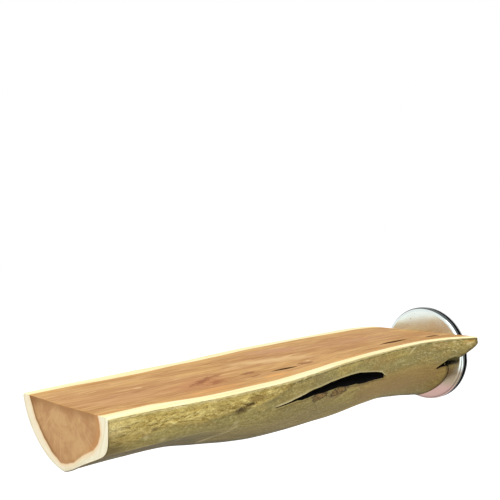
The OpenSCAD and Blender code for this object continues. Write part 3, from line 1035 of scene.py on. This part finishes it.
# %% Side: scratches, spots and the cage end
# Each spot is an ellipse: centre, half its length and height, and tone.
SPOTS = [((-5.5, -32, 10.2), 3.6, 2.4, (196, 162, 90)), ((-5.0, -32, 10.6), 1.5, 0.8, (158, 116, 50)),
         ((-5.6, -31, 8.6), 1.3, 0.8, (226, 208, 156)), ((-4.4, -31, 9.2), 0.9, 0.6, (226, 208, 156)),
         ((-158, -34, 8.0), 6.0, 1.6, (132, 98, 44))]
CRACKS = [((-165.8, -34, 5.0), 3.6, 1.0, (62, 50, 22)), ((-161.4, -34, 6.3), 2.8, 0.6, (62, 50, 22))]
SPOT_DEPTH = 4
colour = peeled.layers(colour, (peeled.number("scratch"), 0.6, (226, 210, 158)))
for spots, wobble, share, low, high, strength in (
        (SPOTS, ragged, 1.2, 1.75, 1.1, 0.6), (CRACKS, fine_flake, 3.0, 2.5, 2.05, 0.8)):
    for centre, length, height, tone in spots:
        away = spot(peeled, place, centre, (length, SPOT_DEPTH, height))
        colour = peeled.layers(colour, (peeled.plus(away, wobble, share), low, high, strength, tone))
colour = peeled.layers(
    colour,
    # Painted shade on the side beside the cage end.
    (parts["X"], -4.0, -2.4, 0.7, (78, 64, 38)),
    (peeled.number("pit"), 0.8, (92, 72, 38)))
coarse = peeled.bump(peeled.times(flake_mix, flaky_here), 2.4 * MM, 1.0)
rough_skin = peeled.bump(speckle, 0.4 * MM, 0.8, under=coarse)
peeled.set(Base_Color=colour, Roughness=0.65, Normal=rough_skin, Specular_IOR_Level=0.15)

# %% The rotten hollow, with painted shade
# Deep in the hollow and all along the split the wood is painted near black as shade. Where the
# split runs, the wood is pale beside its lower lip and olive on its upper wall, and the painted
# shade stays as a thin dark line between them.
hollow = Finish("rot_and_shade_hollow")
place, across = hollow.vector("place"), hollow.number("across")
rot = hollow.noise(place, (0.3, 0.6, 0.6), detail=6)
in_split = (hollow.axes(place)["X"], -15, -11)
colour = hollow.layers(
    hollow.ground(rot, 0.4, 0.6, (64, 44, 26), (150, 108, 60)),
    (hollow.number("deep"), 0.3, 0.9, 1.0, (24, 22, 21)),
    (*in_split, 0.95, (20, 15, 12)),
    (hollow.both(in_split, (across, 0.08, 0.02)), 0.9, (196, 162, 118)),
    (hollow.both(in_split, (across, 0.18, 0.26)), 0.9, (140, 122, 76)))
hollow.set(Base_Color=colour, Roughness=0.95, Specular_IOR_Level=0.05, Normal=hollow.bump(rot, 0.6 * MM, 0.8))

for finish in (top, end, peeled, hollow):
    log.data.materials.append(finish.material)

# %% [markdown]
# ## The washers
#
# Both washers are shallow cups of bright plated sheet, turned round the bolt's axis from one
# profile. Their rims face each other and hold the cage's wires between them. The inner washer
# carries a painted brown and pinkish reflection of the wood at its foot, a thin painted
# reflection line runs dark along the lower half of the rim, and painted shade darkens the rims
# beside the gap between the washers. Inside, the sheet is dull and painted dark as shade, with a
# lighter middle.

# %% One profile for both washers
inner_low, inner_high = box_mm("inner_washer")
outer_low = box_mm("outer_washer")[0]
WASHERS = (("inner_washer", inner_high[0], -1), ("outer_washer", outer_low[0], 1))
RIM_RADIUS = inner_high[1]
WASHER_HEIGHT = inner_high[0] - inner_low[0]
GAP_MIDDLE = (inner_high[0] + outer_low[0]) / 2
GAP_HALF = (outer_low[0] - inner_high[0]) / 2
SHEET = 0.9
HOLE_RADIUS = 3.5
FLAT_RADIUS = 12.0
BROKEN_EDGE = 0.12
TURN_STEPS = 240


def round_corner(centre, radius, start, stop, count):
    """Points (height, radius) on an arc."""
    turns = np.radians(np.linspace(start, stop, count))
    return [(centre[0] + radius * np.cos(t), centre[1] + radius * np.sin(t)) for t in turns]


def round_axis(x, radius, turn):
    """Points at a distance from the bolt's axis, turned round it."""
    x, radius, turn = np.broadcast_arrays(x, radius, turn)
    return np.stack([x, radius * np.cos(turn), radius * np.sin(turn)], -1)


def revolve(name, profile, steps=TURN_STEPS):
    """Turns a closed profile of (distance along the bolt, radius) round the bolt's axis."""
    turns = np.linspace(0, 2 * math.pi, steps, endpoint=False)[:, None]
    rings = round_axis(*np.array(profile, float).T, turns)
    obj = skin(name, np.concatenate([rings, rings[:1]]), closed_ends=False)
    work = bmesh.new()
    work.from_mesh(obj.data)
    bmesh.ops.remove_doubles(work, verts=work.verts, dist=1e-7)
    work.to_mesh(obj.data)
    work.free()
    return obj


shoulder = (0, RIM_RADIUS - WASHER_HEIGHT)
hollow_height = WASHER_HEIGHT - SHEET
cup = [(hollow_height, HOLE_RADIUS + BROKEN_EDGE), (hollow_height, FLAT_RADIUS)]
cup += round_corner(shoulder, hollow_height, 0, 90, 8)
cup += [(0, RIM_RADIUS - SHEET + BROKEN_EDGE), (0, RIM_RADIUS - 0.15), (0.05, RIM_RADIUS - 0.05)]
cup += round_corner(shoulder, WASHER_HEIGHT, 85, 0, 16)
cup += [(WASHER_HEIGHT, FLAT_RADIUS), (WASHER_HEIGHT, HOLE_RADIUS + BROKEN_EDGE),
        (WASHER_HEIGHT - BROKEN_EDGE, HOLE_RADIUS), (hollow_height + BROKEN_EDGE, HOLE_RADIUS)]

# %% Bright plate, dull inside
REFLECTION_LINE_RADIUS = 24.15
ALL_IN_MM = (1 / MM, 1 / MM, 1 / MM)
ACROSS_IN_MM = (0, 1 / MM, 1 / MM)

plate = Finish("nickel_plate")
in_mm = plate.stretch(plate.own(), ALL_IN_MM)
from_axis = plate.length(plate.stretch(plate.own(), ACROSS_IN_MM))
parts = plate.axes(in_mm)
wiped = plate.noise(in_mm, (0.06, 0.06, 0.06), detail=3)
specks = plate.noise(in_mm, (0.5, 0.5, 0.5), detail=5, place=(3, 3, 3))
on_inner = plate.step(parts["X"], 0.6, -0.2)
wood_reflection = plate.times(on_inner, plate.plus(0.7, wiped, 0.3))
upper = plate.step(parts["Z"], -6, 6)
from_gap_shade = plate.apart(parts["X"], plate.plus(GAP_MIDDLE, upper, -1.3))
colour = plate.layers(
    plate.mix(on_inner, srgb((206, 207, 206)), srgb((229, 238, 234))),
    # Painted reflection of the wood, brown and then pinkish, on the lower part of the inner washer.
    (plate.times(plate.step(parts["Z"], -4, -9), wood_reflection), 1.0, (148, 124, 90)),
    (plate.times(plate.step(parts["Z"], -13, -18), wood_reflection), 1.0, (190, 154, 148)),
    (specks, 0.64, 0.72, 0.5, (140, 116, 110)),
    # Painted reflection: a thin dark line on the lower half of the rim.
    (plate.both((plate.apart(from_axis, REFLECTION_LINE_RADIUS), 0.32, 0.12), (parts["Z"], 4, -3)),
     0.75, (96, 92, 88)),
    # Painted shade on the rims beside the gap between the washers.
    (plate.plus(from_gap_shade, upper, 0.65), GAP_HALF + 1.0, GAP_HALF + 0.6, 0.9, (54, 58, 62)))
rubbed = plate.noise(in_mm, (0.9, 0.9, 0.06), detail=3)
roughness = plate.plus(0.16, plate.step(wiped, 0.3, 0.7), 0.10)
plate.set(Base_Color=colour, Metallic=1.0, Roughness=roughness, Normal=plate.bump(rubbed, 0.01 * MM, 0.3))

dull = Finish("dull_inside_painted_shade")
inside_mottle = dull.noise(dull.own(), (300, 300, 300), detail=4)
from_axis = dull.length(dull.stretch(dull.own(), ACROSS_IN_MM))
# Painted shade: the inside of each cup is dark, lighter towards the middle.
lighter_middle = dull.ground(inside_mottle, 0.35, 0.65, (112, 112, 112), (138, 138, 136))
painted_inside_shade = dull.ground(inside_mottle, 0.35, 0.65, (34, 36, 40), (52, 54, 58))
dull.set(Base_Color=dull.mix(dull.step(from_axis, 20.5, 22), lighter_middle, painted_inside_shade), Metallic=0.6, Roughness=0.6)

# %% Two washers
def inside_cup(centre, rim_place, way):
    """Whether a face looks into the space between the two washers."""
    height = way * (centre[0] / MM - rim_place)
    radius = math.hypot(centre[1], centre[2]) / MM
    behind_sheet = 0.06 < height < hollow_height + 0.02
    return behind_sheet and HOLE_RADIUS + 0.13 < radius < RIM_RADIUS - SHEET + 0.1


for name, base, way in WASHERS:
    washer = revolve(name + "_plate", [(base + way * height, radius) for height, radius in cup])
    face_outwards(washer, 30)
    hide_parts(name)
    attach(washer, name)
    washer.data.materials.append(plate.material)
    washer.data.materials.append(dull.material)
    for face in washer.data.polygons:
        face.material_index = int(inside_cup(face.center, base, way))

# %% [markdown]
# ## The hanger bolt
#
# One end is a wood screw, hidden in the log, and the other end carries the wing nut. Both
# threads are real turns here: the radius of each point rises and falls with its place along
# the bolt less its turn round it, which makes a right-handed helix.

# %% Threads
bolt_low, bolt_high = box_mm("hanger_bolt")
STUD_RADIUS = bolt_high[1]
SHANK_RADIUS = 3.1
PITCH, THREAD_DEPTH = 1.27, 0.76
SCREW_PITCH, SCREW_ROOT = 2.6, 0.70
POINT_LENGTH, POINT_POWER = 7.0, 0.8
TIP_LENGTH, TIP_DEPTH = 0.7, 0.75
BOLT_SIDES = 56


def ridge(x, turn, pitch, sharpness):
    """Height of a thread from 0 at the root to 1 at the crest."""
    phase = (x / pitch - turn / (2 * math.pi)) % 1
    return np.clip((1 - 2 * np.abs(phase - 0.5)) * sharpness - 0.5 * (sharpness - 1), 0, 1)


# The steps along the bolt are finest on the machine thread.
bolt_x = np.concatenate([np.arange(bolt_low[0], LOG_END - 0.3, 0.26), np.arange(LOG_END - 0.3, 0.8, 0.2),
                         np.arange(0.8, bolt_high[0] - 0.04, 0.07), [bolt_high[0]]])[:, None]
turn = np.linspace(0, 2 * math.pi, BOLT_SIDES, endpoint=False)[None, :]
wood_thread = STUD_RADIUS * (SCREW_ROOT + (1 - SCREW_ROOT) * ridge(bolt_x, turn, SCREW_PITCH, 1.0) ** 2)
wood_thread = wood_thread * np.clip((bolt_x - bolt_low[0]) / POINT_LENGTH, 0.02, 1) ** POINT_POWER
machine_thread = STUD_RADIUS - THREAD_DEPTH * (1 - ridge(bolt_x, turn, PITCH, 1.25))
to_shank = ease((bolt_x - (LOG_END - 4.0)) / 1.5)
to_thread = ease((bolt_x - 0.4) / 1.2)
outer_part = SHANK_RADIUS * (1 - to_thread) + machine_thread * to_thread
radius = wood_thread * (1 - to_shank) + to_shank * outer_part
tip = np.clip((bolt_high[0] - bolt_x) / TIP_LENGTH, 0, 1)
radius = np.minimum(radius, STUD_RADIUS - TIP_DEPTH * (1 - tip) ** 2)
bolt = skin("hanger_bolt_thread", round_axis(bolt_x, radius, turn))
face_outwards(bolt, 45)
groove = STUD_RADIUS - radius
groove[-1] = 0.3
store(bolt, "groove", groove)
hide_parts("hanger_bolt")
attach(bolt, "perch")

# %% Dull steel, darker in the grooves
steel = Finish("bolt_steel_finish")
blotches = steel.noise(steel.own(), (400, 400, 400), detail=4)
colour = steel.layers(
    steel.ground(blotches, 0.4, 0.7, (176, 170, 164), (140, 128, 118)),
    (steel.number("groove"), 0.15, 0.7, 1.0, (78, 66, 58)))
steel.set(Base_Color=colour, Metallic=1.0, Roughness=0.38)
bolt.data.materials.append(steel.material)
print("bolt: %d points" % len(bolt.data.vertices))

# %% [markdown]
# ## The wing nut
#
# A wing nut is pressed in one piece: its wings flow out of the hub, and nothing on it is sharp.
# Three closed shells, the hub and two wings, are joined by a fine voxel remesh and smoothed.

# %% Hub and wings
SEAT = box_mm("wing_nut")[0][0]
WING_ANGLE = math.radians(50)
HALF_SPAN, WING_HEIGHT, WING_THICKNESS, TIP_SHARE = 13.2, 10.3, 3.6, 0.8
HUB_RADIUS, HUB_TOP_RADIUS, HUB_HEIGHT, NUT_BORE = 5.8, 4.64, 5.0, 3.225
HUB_BEVEL, BORE_BEVEL = 0.5, 0.3
HUB_STEPS, CURVE_STEPS, WING_LAYERS = 96, 6, 9
VOXEL = 0.22
WING_OUTLINE = [(0.3, 0.06), (0.47, 0.04), (0.64, 0.24), (0.83, 0.53), (1, 0.82), (0.985, 0.93), (0.9, 0.99),
                (0.81, 1), (0.73, 0.93), (0.6, 0.72), (0.46, 0.53), (0.36, 0.47), (0.3, 0.45)]


def closed_curve(corners):
    """A smooth closed curve through the corners."""
    corners = np.array(corners, float)
    places = (1 + np.arange(CURVE_STEPS) / CURVE_STEPS) / 3
    result = []
    for i in range(len(corners)):
        four = [corners[(i + k) % len(corners)] for k in (-1, 0, 1, 2)]
        result.append(np.stack([along([point[c] for point in four], places) for c in (0, 1)], -1))
    return np.concatenate(result)


def wing_rings(side_sign):
    """Rings of a wing across its thickness, in millimetres in the row frame."""
    outline = closed_curve(WING_OUTLINE) * (HALF_SPAN, WING_HEIGHT)
    half = WING_THICKNESS / 2 * (1 - (1 - TIP_SHARE) * outline[:, 0] / HALF_SPAN)
    rings = []
    for share in np.linspace(-1, 1, WING_LAYERS):
        u, w = side_sign * outline[:, 0], share * half
        rings.append(np.stack([SEAT + outline[:, 1], u * math.cos(WING_ANGLE) - w * math.sin(WING_ANGLE),
                               u * math.sin(WING_ANGLE) + w * math.cos(WING_ANGLE)], -1))
    return np.stack(rings)


hub_profile = [(0, NUT_BORE + BORE_BEVEL), (0, HUB_RADIUS - HUB_BEVEL), (HUB_BEVEL, HUB_RADIUS),
               (1.25, HUB_RADIUS), (HUB_HEIGHT - HUB_BEVEL, HUB_TOP_RADIUS),
               (HUB_HEIGHT, HUB_TOP_RADIUS - HUB_BEVEL), (HUB_HEIGHT, NUT_BORE + BORE_BEVEL),
               (HUB_HEIGHT - BORE_BEVEL, NUT_BORE), (BORE_BEVEL, NUT_BORE)]
nut = revolve("wing_nut_pressed", [(SEAT + height, r) for height, r in hub_profile], HUB_STEPS)
shells = bmesh.new()
shells.from_mesh(nut.data)
for sign in (1, -1):
    wing = skin("wing", wing_rings(sign))
    shells.from_mesh(wing.data)
    bpy.data.objects.remove(wing)
bmesh.ops.recalc_face_normals(shells, faces=shells.faces)
for face in shells.faces:
    face.smooth = True
shells.to_mesh(nut.data)
shells.free()
join = nut.modifiers.new("join", "REMESH")
join.mode, join.voxel_size, join.use_smooth_shade = "VOXEL", VOXEL * MM, True
soften = nut.modifiers.new("soften", "SMOOTH")
soften.factor, soften.iterations = 0.5, 4
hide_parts("wing_nut")
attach(nut, "wing_nut")

# %% Zinc plate
zinc = Finish("zinc_plate")
mottle = zinc.noise(zinc.own(), (250, 250, 250), detail=4)
pitted = zinc.noise(zinc.own(), (1500, 1500, 1500), detail=3)
colour = zinc.ground(mottle, 0.35, 0.65, (160, 162, 164), (186, 187, 186))
zinc.set(Base_Color=colour, Metallic=1.0, Roughness=zinc.plus(0.28, mottle, 0.15),
         Normal=zinc.bump(pitted, 0.02 * MM, 0.4))
nut.data.materials.append(zinc.material)

# %% [markdown]
# ## Floor and light
#
# The photograph shows the perch in the air on plain white. The floor lies well below, so it
# takes a soft shadow without crowding the object. White is given to the floor and the world only
# where the camera or a mirror looks at them, and the light on the object stays at a plain level.

# %% Pale floor
FLOOR_HEIGHT, FLOOR_HALF = -0.100, 3.0
FLOOR_GREY, FLOOR_GLOW = 0.55, 0.66

floor_mesh = bpy.data.meshes.new("floor")
corners = [(FLOOR_HALF * a, FLOOR_HALF * b, FLOOR_HEIGHT) for a, b in ((-1, -1), (1, -1), (1, 1), (-1, 1))]
floor_mesh.from_pydata(corners, [], [(0, 1, 2, 3)])
floor = placed("floor", floor_mesh)
floor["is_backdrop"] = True

floor_finish = Finish("floor_white")
rays = floor_finish.node("LightPath", {}).outputs
seen = floor_finish.math("MAXIMUM", rays["Is Camera Ray"], rays["Is Glossy Ray"])
floor_finish.set(Base_Color=(FLOOR_GREY, FLOOR_GREY, FLOOR_GREY, 1), Roughness=0.9, Specular_IOR_Level=0.0,
                 Emission_Color=(1, 1, 1, 1), Emission_Strength=floor_finish.times(seen, FLOOR_GLOW))
floor_mesh.materials.append(floor_finish.material)

# %% World and lamp
# Metal also needs something dark to mirror, or its edges vanish into the white. Mirrored rays
# find a dim patch out past the washers, as in a studio with its lights on one side.
LEVEL = 0.71
DIM_SIDE = Vector((0.85, -0.52, 0.0))
DIM_SHARE = 0.85
LAMP_SIZE, LAMP_POWER = 1.0, 10.4
LAMP_PLACE = Vector((-0.74, -0.66, 0.80))
LAMP_TARGET = Vector((-0.11, 0, 0))

world = bpy.data.worlds.new("studio")
bpy.context.scene.world = world
world.use_nodes = True
sky = Network(world.node_tree)
rays = sky.node("LightPath", {}).outputs
dim_way = {0: sky.own("Generated"), 1: DIM_SIDE}
towards_dim = sky.node("VectorMath", dim_way, operation="DOT_PRODUCT").outputs["Value"]
mirrored = sky.math("MAXIMUM", rays["Is Glossy Ray"], rays["Is Transmission Ray"])
mirror_level = sky.plus(1.0, sky.step(towards_dim, 0.75, 0.95), -DIM_SHARE)
level = sky.plus(LEVEL, rays["Is Camera Ray"], 1.0 - LEVEL)
level = sky.plus(level, mirrored, sky.math("SUBTRACT", mirror_level, LEVEL))
background = world.node_tree.nodes["Background"]
sky.put(background.inputs["Strength"], level)
sky.put(background.inputs["Color"], (1, 1, 1, 1))

lamp_data = bpy.data.lights.new("softbox", "AREA")
lamp_data.shape, lamp_data.size, lamp_data.energy = "DISK", LAMP_SIZE, LAMP_POWER
lamp = placed("softbox", lamp_data)
lamp.location = LAMP_PLACE
lamp.rotation_euler = (LAMP_TARGET - LAMP_PLACE).to_track_quat("-Z", "Y").to_euler()

# %% [markdown]
#
# The finished object is meant to keep the imported model's size. Both boxes are printed.

# %% Finish
final_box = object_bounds()
for label, corners in (("packed", cad_box), ("finished", final_box)):
    print(label, [[round(v / MM, 2) for v in corner] for corner in corners])
